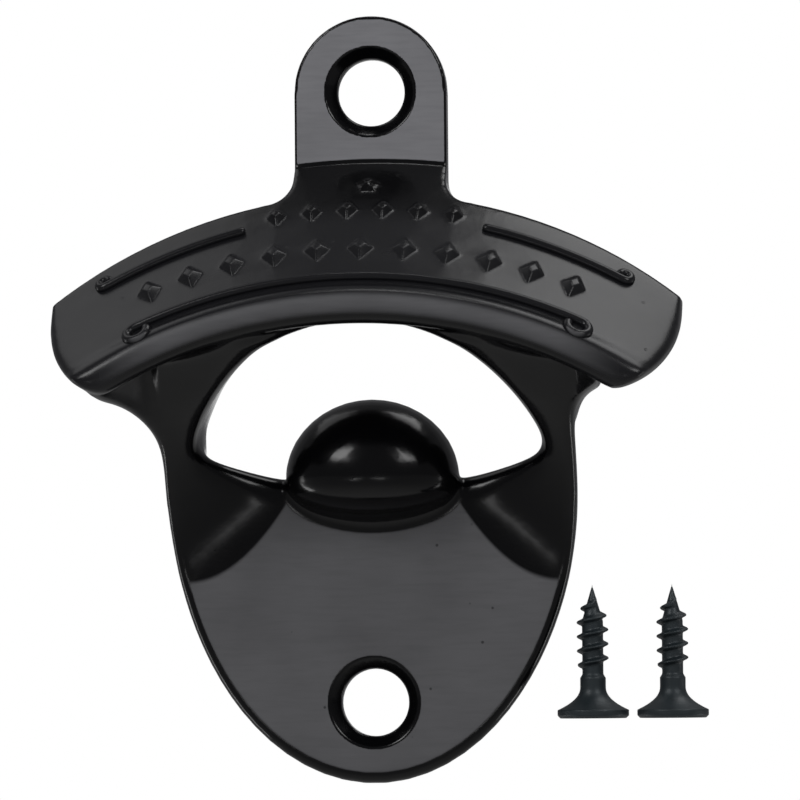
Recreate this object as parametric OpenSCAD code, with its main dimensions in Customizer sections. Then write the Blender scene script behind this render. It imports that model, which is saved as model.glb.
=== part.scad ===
// Wall-mounted bottle opener: one casting and the two screws that fix it.
// Millimetres. +Z is up, the wall is the plane y = 0 and the front faces -Y.
// The origin is midway between the two fixing holes, on the wall.
// The casting is drawn face on (x right, y up, z away from the wall) and then stood up.

/* [Fixing holes] */
// Distance between the two hole centres
hole_spacing = 67.2; // [62:0.1:74]
// Diameter of each hole through the casting
hole_d = 7.4; // [6.4:0.1:7.5]
// Diameter of each countersink at the front face
countersink_d = 9.9; // [9:0.1:11]

/* [Hanging tab] */
// Width of the tab, which is also the diameter of its round end
tab_w = 16.8; // [14:0.1:20]
// Thickness of the tab
tab_t = 3; // [2.4:0.1:4]
// Radius of the inside corners where the tab runs into the hood
tab_root_r = 3; // [1:0.1:5]

/* [Wall plate] */
// Width of the plate and of the cheeks above it
plate_w = 45.4; // [43:0.1:50]
// Thickness of the plate
plate_t = 3.5; // [2.6:0.1:5]
// Height of the widest line of the plate
plate_wide_y = -9.1; // [-14:0.1:-6]
// Metal below the centre of the lower hole
plate_end = 8.9; // [7:0.1:14]
// Radius of the plate's front edge
plate_edge_r = 1.3; // [0.4:0.1:2]

/* [Mouth] */
// Radius of the arch of the mouth
mouth_r = 21; // [18:0.1:21.4]
// Height of the top of the arch
mouth_top = 7.3; // [5:0.1:8.5]
// Height of the lowest line of the mouth
mouth_floor = -9.9; // [-12:0.1:-8]
// Radius of the curved floor of the mouth
mouth_floor_r = 50; // [40:0.5:90]
// Softness of the two corners of the mouth
mouth_corner = 3; // [1:0.1:6]
// Radius of the mouth's front edge
mouth_edge_r = 2.4; // [0.5:0.1:3]
// Draft of the mouth's wall, which opens towards the wall behind, in degrees
mouth_draft = 14; // [6:0.5:16]

/* [Cheeks] */
// Radius of the sweep from the plate up to the hood
cheek_sweep_r = 13; // [9:0.1:20]
// Distance from the middle to the inner end of the sweep's foot
cheek_foot_x = 9.5; // [7:0.1:13]
// Height of the inner end of the sweep's foot
cheek_foot_y = -12.3; // [-15:0.1:-10.5]
// Slope of the sweep's foot, falling outwards
cheek_foot_slope = 0.87; // [0.4:0.01:1.2]
// Draft of the cheeks' outer sides, which narrow towards the wall, in degrees
cheek_draft = 6; // [0:0.5:8]
// Height where the cheeks' back leaves the wall
cheek_back_y = -5; // [-8:0.1:0]
// Height above the plate's widest line in which the sweep's foot turns level
cheek_level_h = 9; // [6:0.1:14]
// Radius of the left corner between cheek and hood
left_corner_r = 6.4; // [2:0.1:7]
// Radius of the right corner between cheek and hood
right_corner_r = 3.2; // [2:0.1:7]
// Thickness of the web in each corner
corner_t = 3.6; // [3:0.1:6]

/* [Hood] */
// Width of the hood from end to end
hood_w = 68.6; // [62:0.1:76]
// Height of the centre that the hood is turned about
hood_axis_y = -46; // [-60:0.5:-40]
// Height of the hood's top edge in the middle
hood_top_y = 21.9; // [20:0.1:24]
// Radius of the hood's top edge
hood_top_r = 55; // [48:0.5:75]
// Height of the lowest line of the hood's ends
hood_end_y = -0.8; // [-2:0.1:1]
// Radius of the lower corners of the hood's ends
hood_corner_r = 8.8; // [3:0.1:10]
// Thickness of the hood behind its lip
hood_t = 3.7; // [2.8:0.1:4.1]
// Slope of the hood's face, as depth lost for each unit of rise
hood_slope = 1.28; // [1.1:0.01:1.5]
// Height of the lip's centre line in the middle
lip_y = 9; // [8:0.1:11]
// Distance of the lip's centre line from the wall
lip_z = 21.5; // [19:0.1:24]
// Radius of the round lip
lip_r = 2.1; // [2.1:0.1:2.8]

/* [Ornament] */
// Height of the raised ornament above the hood's face
relief_h = 0.6; // [0.3:0.05:0.8]
// Width of the scroll lines at their foot
scroll_w = 1; // [0.7:0.05:1.4]
// Distance of the lower scroll line above the lip's centre line
lower_scroll_rise = 2.9; // [2.6:0.1:3.4]
// Angle from the middle to each end of the lower scroll line
lower_scroll_turn = 24.4; // [20:0.1:26]
// Distance of the upper scroll lines above the lip's centre line
upper_scroll_rise = 9.9; // [9.4:0.1:10.4]
// Angle from the middle to the outer ends of the upper scroll lines
upper_scroll_turn = 25.6; // [22:0.1:27]
// Angle from the middle to the inner ends of the upper scroll lines
upper_scroll_start = 11.4; // [10.6:0.1:14]
// Radius of the hook at each end of the lower line
lower_hook_r = 1.2; // [0.9:0.05:1.4]
// Radius of the hook at the outer end of each upper line
upper_hook_r = 0.9; // [0.8:0.05:1.2]
// Width of a lozenge at its foot
lozenge_w = 3.6; // [2:0.1:4]
// Length of a lozenge up the hood's face
lozenge_l = 5.8; // [3:0.1:6.4]
// Number of lozenges in the lower row
lower_lozenges = 11; // [5:1:12]
// Number of lozenges in the upper row
upper_lozenges = 6; // [3:1:7]
// Radius of the star under the tab
star_r = 1.9; // [1.2:0.1:2.2]

/* [Lifting tooth] */
// Width of the tooth
tooth_w = 19.2; // [15:0.1:24]
// Height of the tip of the tooth
tooth_tip_y = -0.4; // [-3:0.1:0.5]
// Height of the tooth's widest line
tooth_wide_y = -9.3; // [-11:0.1:-7]
// Fall from the widest line to the foot of the tooth
tooth_foot = 3.8; // [2:0.1:6]
// Distance of the front of the tooth from the wall
tooth_front_z = 11; // [7:0.1:14]
// Squareness of the tooth's outline, where 2 is an ellipse
tooth_square = 2; // [1.8:0.05:3]
// Radius of the fillet at the foot of the tooth
tooth_fillet_r = 2; // [0.5:0.1:3]

/* [Fixing screws] */
// Length of a screw with its head
screw_l = 14.6; // [13:0.1:18]
// Diameter of the head
screw_head_d = 7.8; // [7.5:0.1:8.6]
// Thickness of the head's rim
screw_rim = 0.9; // [0.5:0.05:1.4]
// Height of the flared part under the rim
screw_flare = 2.5; // [1.8:0.1:3.5]
// Diameter of the plain shank
screw_shank_d = 2.8; // [2.4:0.05:3.2]
// Diameter over the thread
screw_thread_d = 3.5; // [3.3:0.05:4.2]
// Diameter of the core inside the thread
screw_core_d = 2.3; // [2:0.05:2.7]
// Pitch of the thread
screw_pitch = 1.55; // [1.2:0.05:2]
// Length of the tapered point
screw_point = 4; // [3:0.1:5]
// Bare tip in front of the thread
screw_tip = 1.7; // [1.2:0.1:2.5]
// Width of the cross recess in the head
recess_w = 4.4; // [3.6:0.1:5]
// Width of one slot of the cross recess
recess_slot = 1; // [0.7:0.05:1.3]
// Depth of the cross recess
recess_depth = 1.8; // [1.2:0.1:2.2]

/* [Screws beside the casting] */
// Gap between the plate's widest line and the first screw's axis
screw_gap = 1.3; // [1.2:0.1:6]
// Gap between the two heads
screw_head_gap = 0.9; // [0.5:0.1:4]
// Height of the flat of the heads
screw_stand_y = -35.5; // [-38:0.1:-30]

/* [Hidden] */
// A small overlap that lets joined forms share metal and cuts pass right through
eps = 0.2;
hole_y = hole_spacing / 2;
countersink_depth = (countersink_d - hole_d) / 2;
plate_half = plate_w / 2;
plate_drop = plate_wide_y + hole_y + plate_end;
mouth_mid = (mouth_top + mouth_floor) / 2;

// The cheeks' outline above the plate's widest line, a superellipse that ends inside the lip
cheek_top_share = 2.5;
cheek_rise = lip_y + cheek_top_share * lip_r - plate_wide_y;
cheek_square = 5;
// The most of a section's width that its edge radii and its draft take up
inner_edge_share = 0.55;
outer_edge_share = 0.35;
draft_share = 0.3;

// The hood's face and middle surface, as depths at a distance from its axis
lip_turn_r = lip_y - hood_axis_y;
hood_norm = sqrt(1 + hood_slope * hood_slope);
hood_half_depth = hood_t / 2 * hood_norm;
// Half the angle that the hood is turned through, a little past its ends
turn_margin = 2;
hood_turn = asin(hood_w / 2 / (lip_turn_r - 2 * lip_r)) + turn_margin;
// Height in the middle where the back of the hood meets the wall
hood_wall_y = lip_y + (lip_z - hood_half_depth) / hood_slope;

// Sections round the mouth and steps round a section's edges
ring_steps = 90;
edge_steps = 4;
face_steps = 6;
back_steps = 4;
tooth_steps = 40;
tooth_rings = 10;
thread_steps = 24;
flare_steps = 8;

// The tooth's outline inside the plate and at its top, as shares of its outline on the plate
tooth_root_share = 0.86;
tooth_root_z = plate_t / 8;
tooth_top_share = 0.06;

// How far the corner webs reach into cheek and hood, and how far out they meet the lip, in their radius
corner_sink = 2 * lip_r;
corner_reach = 1.2;

// Where the rows of lozenges and the star lie on the hood's face
lower_row_share = 0.49;
lower_row_rise = mix(lower_scroll_rise, upper_scroll_rise, lower_row_share);
lower_row_reach = 0.9;
lower_row_turn = lower_row_reach * lower_scroll_turn;
upper_row_rise = upper_scroll_rise + scroll_w;
upper_row_reach = 0.74;
upper_row_turn = upper_row_reach * upper_scroll_start;
upper_row_share = 0.8;
star_gap = 2.9;
star_rise = upper_row_rise + star_gap;
star_points = 5;
star_waist = 0.45;
// The ornament's tops as shares of its feet, its depth inside the hood and the turn of its hooks
scroll_top_share = 0.5;
lozenge_top_share = 0.3;
relief_sink = 0.3;
hook_turn = 290;

// The thread's ridge: its foot inside the core, half its widths as shares of the pitch, its fading ends
thread_sink = 0.06 * screw_core_d;
thread_foot_share = 0.27;
thread_crest_share = 0.05;
thread_end_share = 0.9;
thread_fade_turns = 2 / 3;
// The screw's rounded rim, its plain neck and the step down to the core
rim_edge = screw_rim / 3;
neck_l = 0.4 * screw_flare;
neck_step = 0.16 * screw_flare;
// How hollow the flare under the head is, and the recess's width at its bottom
flare_power = 2.2;
recess_taper = 0.35;

screw_x = plate_half + screw_gap;
screw_x_2 = screw_x + screw_head_d + screw_head_gap;

// Maths shared by the forms
function smooth(t) = let (c = min(1, max(0, t))) c * c * (3 - 2 * c);
function mix(a, b, t) = a + (b - a) * t;
function soft_min(a, b, k) = let (h = max(k - abs(a - b), 0) / k) min(a, b) - h * h * k / 4;
function along(a) = [cos(a), sin(a)];

// Distance along direction a, from a point inside a circle to the circle; the centre is up or down from it
function ray_to_circle(a, rise, r) =
    let (b = rise * sin(a)) b + sqrt(r * r - rise * rise + b * b);

// Distance along direction a from the middle of a superellipse to its edge
function ray_to_oval(a, half_w, half_h, n) =
    pow(pow(abs(cos(a)) / half_w, n) + pow(abs(sin(a)) / half_h, n), -1 / n);

// A closed skin through rings of points, with flat ends or joined end to end
module skin(rings, joined = false) {
    count = len(rings);
    size = len(rings[0]);
    spans = joined ? count : count - 1;
    points = [for (ring = rings) each ring];
    sides = [
        for (i = [0:spans - 1], j = [0:size - 1])
            let (
                a = i * size + j,
                b = i * size + (j + 1) % size,
                c = ((i + 1) % count) * size + (j + 1) % size,
                d = ((i + 1) % count) * size + j
            )
            each [[a, c, b], [a, d, c]]
    ];
    ends = joined ? [] : [
        [for (j = [0:size - 1]) j],
        [for (j = [size - 1:-1:0]) (count - 1) * size + j]
    ];
    polyhedron(points, concat(sides, ends), convexity = 10);
}

// The mouth's edge and the plate's outline, at direction a
function mouth_edge(a) =
    [0, mouth_mid] + along(a) * soft_min(
        ray_to_circle(a, mouth_top - mouth_r - mouth_mid, mouth_r),
        ray_to_circle(a, mouth_floor + mouth_floor_r - mouth_mid, mouth_floor_r),
        mouth_corner
    );
function plate_edge(a) =
    [0, plate_wide_y] + along(a) * (sin(a) < 0
        ? ray_to_oval(a, plate_half, plate_drop, 2)
        : ray_to_oval(a, plate_half, cheek_rise, cheek_square));

// Depth of the hood's middle surface at a point of the front view
function hood_depth(p) =
    let (r = norm([p.x, p.y - hood_axis_y]))
    min(lip_z, lip_z - (r - lip_turn_r) * hood_slope);

// Depth of the front of plate and cheeks, a parabola rising from the sloping foot line
function cheek_depth(p) =
    let (
        x = mix(abs(p.x), plate_half, smooth((p.y - plate_wide_y) / cheek_level_h)),
        foot = cheek_foot_y - cheek_foot_slope * (x - cheek_foot_x),
        q = max(0, p.y - foot) / norm([1, cheek_foot_slope])
    )
    min(plate_t + q * q / (2 * cheek_sweep_r), hood_depth(p));

// Depth of the back, on the wall up to the cheeks' tops and inside the hood above them
function back_depth(p) =
    smooth((p.y - cheek_back_y) / (lip_y + lip_r - cheek_back_y)) * (hood_depth(p) - hood_half_depth / 3);

// One section of plate and cheek, from the mouth's edge out to the outline and back along the wall
function plate_section(a) =
    let (
        inner = mouth_edge(a),
        outer = plate_edge(a),
        w = norm(outer - inner),
        r_in = min(mouth_edge_r, inner_edge_share * w),
        r_out = min(plate_edge_r, outer_edge_share * w),
        at = function (e) mix(inner, outer, e / w),
        front = function (e, drop)
            let (p = at(e))
            [p.x, p.y, max(cheek_depth(p) - drop, back_depth(p) + eps)],
        back = function (e) let (p = at(e)) [p.x, p.y, back_depth(p)],
        draft_in = min(cheek_depth(inner) * tan(mouth_draft), draft_share * w),
        draft_out = min(cheek_depth(outer) * tan(cheek_draft), draft_share * w)
    )
    [
        for (i = [0:edge_steps]) let (t = 90 * i / edge_steps)
            front(r_in * (1 - cos(t)), r_in * (1 - sin(t))),
        for (i = [1:face_steps - 1]) front(mix(r_in, w - r_out, i / face_steps), 0),
        for (i = [edge_steps:-1:0]) let (t = 90 * i / edge_steps)
            front(w - r_out * (1 - cos(t)), r_out * (1 - sin(t))),
        for (i = [back_steps:-1:0]) back(mix(draft_in, w - draft_out, i / back_steps))
    ];

module plate_and_cheeks() {
    skin([for (i = [0:ring_steps - 1]) plate_section(360 * i / ring_steps)], joined = true);
}

// The outline of tab and hood in the front view
module tab_outline() {
    translate([0, hole_y]) circle(d = tab_w, $fn = 96);
    translate([-tab_w / 2, lip_y]) square([tab_w, hole_y - lip_y]);
}

module hood_outline() {
    corner = [hood_w / 2 - hood_corner_r, hood_end_y + hood_corner_r];
    intersection() {
        translate([0, hood_top_y - hood_top_r]) circle(hood_top_r, $fn = 180);
        hull() {
            translate(corner) circle(hood_corner_r, $fn = 96);
            translate([-corner.x, corner.y]) circle(hood_corner_r, $fn = 96);
            translate([-hood_w / 2, corner.y]) square([hood_w, hood_top_y]);
        }
    }
}

// The inside corner between the tab's side and the hood's top edge
module tab_root() {
    root_y = hood_top_y - hood_top_r
        + sqrt(pow(hood_top_r + tab_root_r, 2) - pow(tab_w / 2 + tab_root_r, 2));
    difference() {
        translate([tab_w / 2 - eps, root_y - 2 * tab_root_r])
            square([tab_root_r + eps, 2 * tab_root_r]);
        translate([tab_w / 2 + tab_root_r, root_y]) circle(tab_root_r, $fn = 64);
    }
}

// The turned section of the hood: a sloping plate with a round lip
module hood_section() {
    out = [hood_slope, 1] * hood_t / 2 / hood_norm;
    rise = [1, -hood_slope] * (lip_z + 2 * hood_half_depth) / hood_slope;
    lip = [lip_turn_r, lip_z];
    translate(lip) circle(lip_r, $fn = 64);
    polygon([lip - out, lip + out, lip + out + rise, lip - out + rise]);
}

module hood_and_tab() {
    intersection() {
        union() {
            translate([0, hood_axis_y, 0])
                rotate_extrude(angle = 2 * hood_turn, start = 90 - hood_turn, $fn = 180)
                hood_section();
            translate([-tab_w, hood_wall_y - tab_t / 4, -eps]) cube([2 * tab_w, 2 * tab_w, tab_t + eps]);
        }
        linear_extrude(lip_z + 2 * lip_r) {
            hood_outline();
            tab_outline();
            tab_root();
            mirror([1, 0]) tab_root();
        }
    }
}

// The web that rounds the corner between the right cheek's outer side and the hood's end.
// Its face lies behind the rounded edge of the cheek and comes forward to the end of the lip.
module corner_web(r) {
    lip_under_r = lip_turn_r - lip_r;
    top_y = max(hood_end_y, hood_axis_y + sqrt(pow(lip_under_r, 2) - pow(plate_half + r, 2)));
    foot_y = top_y - r;
    foot_z = cheek_depth([plate_half, foot_y]) - plate_edge_r;
    top_z = cheek_depth([plate_half, top_y]) - plate_edge_r;
    lean = atan2(top_z - foot_z, r);
    swing = atan2(lip_z - lip_r - top_z, r * corner_reach);
    intersection() {
        linear_extrude(lip_z) difference() {
            translate([plate_half - corner_sink, foot_y])
                square([corner_sink + r, r + corner_sink]);
            translate([plate_half + r, foot_y]) circle(r, $fn = 96);
        }
        translate([plate_half, foot_y, foot_z])
            rotate([lean, 0, 0])
            rotate([0, -swing, 0])
            translate([-lip_z, -lip_z, -corner_t])
            cube([2 * lip_z, 2 * lip_z, corner_t]);
    }
}

// Places its children on the hood's face, a turn from the middle and a rise from the lip's centre line
module on_hood(turn, rise) {
    translate([0, hood_axis_y, 0])
        rotate([0, 0, -turn])
        translate([0, lip_turn_r + rise, lip_z + hood_half_depth - rise * hood_slope])
        rotate([-atan(hood_slope), 0, 0])
        children();
}

// The section of a scroll line, across the line and out of the face
function scroll_section() = [
    [-scroll_w / 2, -relief_sink],
    [scroll_w / 2, -relief_sink],
    [scroll_w / 2 * scroll_top_share, relief_h],
    [-scroll_w / 2 * scroll_top_share, relief_h]
];

// A scroll line along the hood's arc, from one angle to another
module scroll_line(from_turn, to_turn, rise) {
    middle = [lip_turn_r + rise, lip_z + hood_half_depth - rise * hood_slope];
    up_slope = [1, -hood_slope] / hood_norm;
    out = [hood_slope, 1] / hood_norm;
    translate([0, hood_axis_y, 0])
        rotate_extrude(angle = to_turn - from_turn, start = 90 - to_turn, $fn = 180)
        polygon([for (p = scroll_section()) middle + up_slope * p.x + out * p.y]);
}

// The hook at the right end of a line, turned up from it or down
module scroll_hook(turn, rise, r, up) {
    on_hood(turn, rise)
        translate([0, up ? r : -r, 0])
        rotate_extrude(angle = hook_turn, start = up ? -90 : 90 - hook_turn, $fn = 48)
        polygon([for (p = scroll_section()) [r + p.x, p.y]]);
}

module lozenge(share) {
    w = lozenge_w / 2 * share;
    l = lozenge_l / 2 * share;
    translate([0, 0, -relief_sink])
        linear_extrude(relief_h + relief_sink, scale = lozenge_top_share)
        polygon([[w, 0], [0, l], [-w, 0], [0, -l]]);
}

module star() {
    translate([0, 0, -relief_sink])
        linear_extrude(relief_h + relief_sink, scale = lozenge_top_share)
        polygon([
            for (i = [0:2 * star_points - 1])
                along(90 + 180 * i / star_points) * star_r * (i % 2 == 0 ? 1 : star_waist)
        ]);
}

module right_scrolls() {
    scroll_line(upper_scroll_start, upper_scroll_turn, upper_scroll_rise);
    scroll_hook(upper_scroll_turn, upper_scroll_rise, upper_hook_r, true);
    scroll_hook(lower_scroll_turn, lower_scroll_rise, lower_hook_r, false);
}

module ornament() {
    scroll_line(-lower_scroll_turn, lower_scroll_turn, lower_scroll_rise);
    right_scrolls();
    mirror([1, 0, 0]) right_scrolls();
    for (i = [0:lower_lozenges - 1])
        on_hood(mix(-lower_row_turn, lower_row_turn, i / (lower_lozenges - 1)), lower_row_rise) lozenge(1);
    for (i = [0:upper_lozenges - 1])
        on_hood(mix(-upper_row_turn, upper_row_turn, i / (upper_lozenges - 1)), upper_row_rise)
            lozenge(upper_row_share);
    on_hood(0, star_rise) star();
}

// The tooth's outline at direction a, drawn in by a factor and let out by a margin
function tooth_point(a, factor, margin, z) =
    let (
        up = sin(a) >= 0,
        half_h = up ? tooth_tip_y - tooth_wide_y : tooth_foot,
        r = ray_to_oval(a, tooth_w / 2, half_h, up ? tooth_square : 2)
    )
    let (p = [0, tooth_wide_y] + along(a) * (r * factor + margin)) [p.x, p.y, z];
function tooth_ring(factor, margin, z) = [
    for (i = [0:tooth_steps - 1])
        let (a = 360 * i / tooth_steps)
        tooth_point(a, factor, margin * smooth(-sin(a) * 2), z)
];

// A dome on an egg-shaped foot, let out into a fillet where it stands on the plate
module tooth() {
    rise = tooth_front_z - plate_t;
    skin([
        tooth_ring(tooth_root_share, 0, tooth_root_z),
        tooth_ring(1, tooth_fillet_r, plate_t - tooth_fillet_r / 3),
        tooth_ring(1, tooth_fillet_r / 3, plate_t + tooth_fillet_r / 3),
        for (i = [0:tooth_rings - 1])
            let (t = mix(asin(tooth_fillet_r / rise), 90, i / tooth_rings))
            tooth_ring(cos(t), 0, plate_t + rise * sin(t)),
        tooth_ring(tooth_top_share, 0, tooth_front_z)
    ]);
}

// A hole right through with its countersink at the front face
module fixing_hole(face_z) {
    translate([0, 0, -eps]) cylinder(d = hole_d, h = face_z + 2 * eps, $fn = 96);
    translate([0, 0, face_z - countersink_depth])
        cylinder(d1 = hole_d, d2 = countersink_d, h = countersink_depth, $fn = 96);
    translate([0, 0, face_z - eps / 10]) cylinder(d = countersink_d, h = lip_z, $fn = 96);
}

module opener_body() {
    color("#1c1c1e")
        rotate([90, 0, 0])
        difference() {
            union() {
                plate_and_cheeks();
                hood_and_tab();
                corner_web(right_corner_r);
                mirror([1, 0, 0]) corner_web(left_corner_r);
                ornament();
                tooth();
            }
            translate([0, hole_y, 0]) fixing_hole(tab_t);
            translate([0, -hole_y, 0]) fixing_hole(plate_t);
        }
}

// Radius of the screw's core, which tapers to the tip
function core_r(z) = screw_core_d / 2 * min(1, (screw_l - z) / screw_point);

// A ridge wound round the screw's core, fading out at both ends
module thread(from_z, to_z) {
    steps = floor((to_z - from_z) / screw_pitch * thread_steps);
    height = (screw_thread_d - screw_core_d) / 2;
    skin([
        for (i = [0:steps])
            let (
                a = 360 * i / thread_steps,
                z = from_z + screw_pitch * i / thread_steps,
                lift = smooth(min(i, steps - i) / thread_steps / thread_fade_turns),
                root = core_r(z) - thread_sink,
                crest = core_r(z) + mix(-thread_sink * 2 / 3, height, lift),
                half_root = thread_foot_share * screw_pitch,
                half_crest = mix(half_root * thread_end_share, thread_crest_share * screw_pitch, lift)
            )
            [
                for (p = [[root, half_root], [crest, half_crest], [crest, -half_crest], [root, -half_root]])
                    [p.x * cos(a), p.x * sin(a), z + p.y]
            ]
    ]);
}

// One screw standing on its head, point up
module screw() {
    flare = [
        for (i = [0:flare_steps])
            let (t = i / flare_steps)
            [mix(screw_shank_d / 2, screw_head_d / 2, pow(1 - t, flare_power)), screw_rim + screw_flare * t]
    ];
    neck = screw_rim + screw_flare + neck_l;
    difference() {
        union() {
            rotate_extrude($fn = 64) polygon(concat(
                [[0, 0], [screw_head_d / 2 - rim_edge, 0], [screw_head_d / 2, rim_edge]],
                flare,
                [
                    [screw_shank_d / 2, neck],
                    [screw_core_d / 2, neck + neck_step],
                    [screw_core_d / 2, screw_l - screw_point],
                    [0, screw_l]
                ]
            ));
            thread(neck + 1.5 * neck_step, screw_l - screw_tip);
        }
        translate([0, 0, -eps]) linear_extrude(recess_depth + eps, scale = recess_taper) {
            square([recess_w, recess_slot], center = true);
            square([recess_slot, recess_w], center = true);
        }
    }
}

module fixing_screw_left() {
    color("#2b3236") translate([screw_x, -screw_head_d / 2, screw_stand_y]) screw();
}

module fixing_screw_right() {
    color("#2b3236") translate([screw_x_2, -screw_head_d / 2, screw_stand_y]) screw();
}

opener_body();
fixing_screw_left();
fixing_screw_right();
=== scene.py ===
"""Looks of a cast wall-mounted bottle opener and its two loose fixing screws.

Laid out as an add-on and run as a script. Lengths are in metres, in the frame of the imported
model: the wall is the plane y = 0, the front faces -Y and +Z is up.
"""

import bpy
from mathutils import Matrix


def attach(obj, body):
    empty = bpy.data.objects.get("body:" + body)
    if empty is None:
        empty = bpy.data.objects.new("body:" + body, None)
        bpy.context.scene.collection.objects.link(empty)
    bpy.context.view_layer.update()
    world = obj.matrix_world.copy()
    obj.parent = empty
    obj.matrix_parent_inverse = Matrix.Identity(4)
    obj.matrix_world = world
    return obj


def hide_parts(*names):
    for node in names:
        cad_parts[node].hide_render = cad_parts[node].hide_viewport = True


bl_info = {
    "name": "Wall Bottle Opener",
    "version": (1, 0, 0),
    "blender": (4, 5, 0),
    "location": "3D View > Sidebar > Opener",
    "description": "Builds the looks of a cast wall-mounted bottle opener with two fixing screws",
    "category": "Add Mesh",
}

import math

import bpy
from bpy.props import FloatProperty, FloatVectorProperty, IntProperty, PointerProperty
from bpy.types import Operator, Panel, PropertyGroup
from mathutils import Matrix, Vector

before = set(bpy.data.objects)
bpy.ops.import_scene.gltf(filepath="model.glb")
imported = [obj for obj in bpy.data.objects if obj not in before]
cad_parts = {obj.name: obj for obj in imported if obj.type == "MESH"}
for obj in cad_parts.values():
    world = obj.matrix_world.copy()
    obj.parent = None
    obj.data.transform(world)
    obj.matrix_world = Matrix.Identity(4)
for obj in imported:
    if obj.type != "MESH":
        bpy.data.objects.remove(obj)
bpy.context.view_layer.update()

MM = 0.001

# The hood's face is part of a cone about the Y direction. These say where it lies in the solid.
HOOD_AXIS_Z = -46.0 * MM
HOOD_SLOPE = 1.28
LIP_REACH = 55.0 * MM
LIP_DEPTH = 24.505 * MM
# The hood's upper edge is part of a circle about the Y direction.
HOOD_EDGE_Z = -33.1 * MM
HOOD_EDGE_R = 55.0 * MM
# Where the solid has its upper scroll lines: angles from the middle, least reach and deepest place
UPPER_LINE_TURNS = (math.radians(10.5), math.radians(30.0))
UPPER_LINE_REACH = 64.35 * MM
UPPER_LINE_DEPTH = -5.0 * MM

# Ornament: its depth in the hood, the share of its width at the top, and the angle of a sharp edge
RELIEF_SINK = 0.3 * MM
TOP_SHARE = 0.3
SHARP_ANGLE = math.radians(40)
# Scroll lines: centre above the face in their radius, points round a line, steps, and the turn of a hook
LINE_LIFT = 0.25
LINE_POINTS = 14
LINE_STEPS_PER_DEGREE = 1.5
HOOK_STEPS = 14
HOOK_TURN = math.radians(290)

# Soft places of the casting, in millimetres: ramps over the distance from the middle and over the height
CHEEK_ASIDE = (8.0, 12.0)
CHEEK_FOOT = (-21.0, -13.0)
CHEEK_TOP = (8.0, 3.0)
TOOTH_FOOT_ASIDE = (14.0, 11.0)
TOOTH_FOOT_LOW = (-17.0, -14.0)
TOOTH_FOOT_HIGH = (-7.0, -10.0)
TOOTH_FOOT_SOFTNESS = 0.7
WING_ASIDE = (22.0, 30.0)
WING_TOP = (11.0, 5.0)
WING_SOFTNESS = 0.9
# Crisp places, in millimetres: the ornament by reach, distance from the edge and depth, then the holes
ORNAMENT_REACH = (55.5, 57.0)
ORNAMENT_FROM_EDGE = (0.5, 1.5)
ORNAMENT_DEPTH = (-4.0, -6.0)
HOLE_HEIGHTS = (-33.6, 33.6)
HOLE_RING = (7.0, 6.0)
PLAIN_SOFTNESS = 0.08
CRISP_SOFTNESS = 0.02

# Places of the paint. Each pair is where a place begins and where it holds in full.
# Forward-facing flat faces take a grey that is partly wear and partly painted sheen.
FLAT_DEPTH = (-4.4 * MM, -4.2 * MM)
FLAT_FACING = (-0.986, -0.998)
# The tab's height, where painted light from above lightens its grey
TAB_HEIGHT = (15.0 * MM, 22.0 * MM)
# The lip's front, where a painted highlight lies
LIP_DEPTHS = (-21.5 * MM, -22.5 * MM)
LIP_FACING = (-0.78, -1.0)
LIP_HIGHLIGHT = 0.9
# Wings and the hood's reach: where the lip's painted highlight ends and the hood's painted sheen lies
WINGS_INNER = (29.0 * MM, 20.0 * MM)
SHEEN_REACH = (67.5 * MM, 64.0 * MM)
OFF_LIP_REACH = (55.4 * MM, 56.2 * MM)
# The plate's grey from wear and its painted sheen end on an arc: where it is level, how it bends, and the
# height there
ARC_ASIDE = 20.5 * MM
ARC_BEND = 0.0712 / MM
ARC_HEIGHT = (-20.0 * MM, -20.7 * MM)
# Most of a noise lies between these values.
NOISE_SPAN = {"From_Min": 0.3, "From_Max": 0.7}


def linear(hex_colour):
    """Turn an sRGB hex colour into a linear colour with full alpha."""
    parts = [int(hex_colour[place:place + 2], 16) / 255 for place in (1, 3, 5)]
    return [p / 12.92 if p <= 0.04045 else ((p + 0.055) / 1.055) ** 2.4 for p in parts] + [1.0]


def colour_property(name, description, hex_colour):
    """A colour that the panel shows, given as an sRGB hex value."""
    return FloatVectorProperty(
        name=name, description=description, subtype="COLOR", size=4, min=0, max=1,
        default=linear(hex_colour),
    )


def length_property(name, description, millimetres):
    """A length that the panel shows, given in millimetres."""
    return FloatProperty(
        name=name, description=description, unit="LENGTH", precision=5, default=millimetres * MM
    )


def share_property(name, description, share):
    """A number from 0 to 1 that the panel shows."""
    return FloatProperty(
        name=name, description=description, subtype="FACTOR", min=0, max=1, default=share
    )


def count_property(name, description, count):
    """A whole number that the panel shows."""
    return IntProperty(name=name, description=description, min=0, default=count)


class CastingSettings(PropertyGroup):
    """Sizes and finish of the painted casting."""

    skin: length_property("Skin", "Cell size of the casting's softened skin", 0.2)
    softening: count_property("Softening", "Rounds of smoothing on the softest places", 170)
    triangles: count_property("Triangles", "Triangles left in the casting's skin", 190000)
    paint: colour_property("Paint", "Colour of the stove paint", "#040405")
    # Painted sheen: this grey stands partly for wear and partly for the front light's sheen on flat faces
    worn_and_sheen_paint: colour_property("Rubbed paint", "Colour of the paint on the rubbed plate", "#4a4a4c")
    # Painted light: the tab is painted lighter than the plate, for light falling from above
    tab_wear_and_painted_light: colour_property("Rubbed tab", "Colour of the rubbed paint on the hanging tab", "#68686b")
    # Painted sheen: the hood's face and the wings' ends are painted lighter, for reflected light
    hood_painted_sheen: colour_property("Satin hood", "Colour of the handled paint on the hood's face", "#111113")
    gloss: share_property("Gloss", "Roughness of the full paint", 0.14)
    rubbed_and_sheen: share_property("Rubbed", "Roughness of rubbed paint", 0.46)


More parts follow.
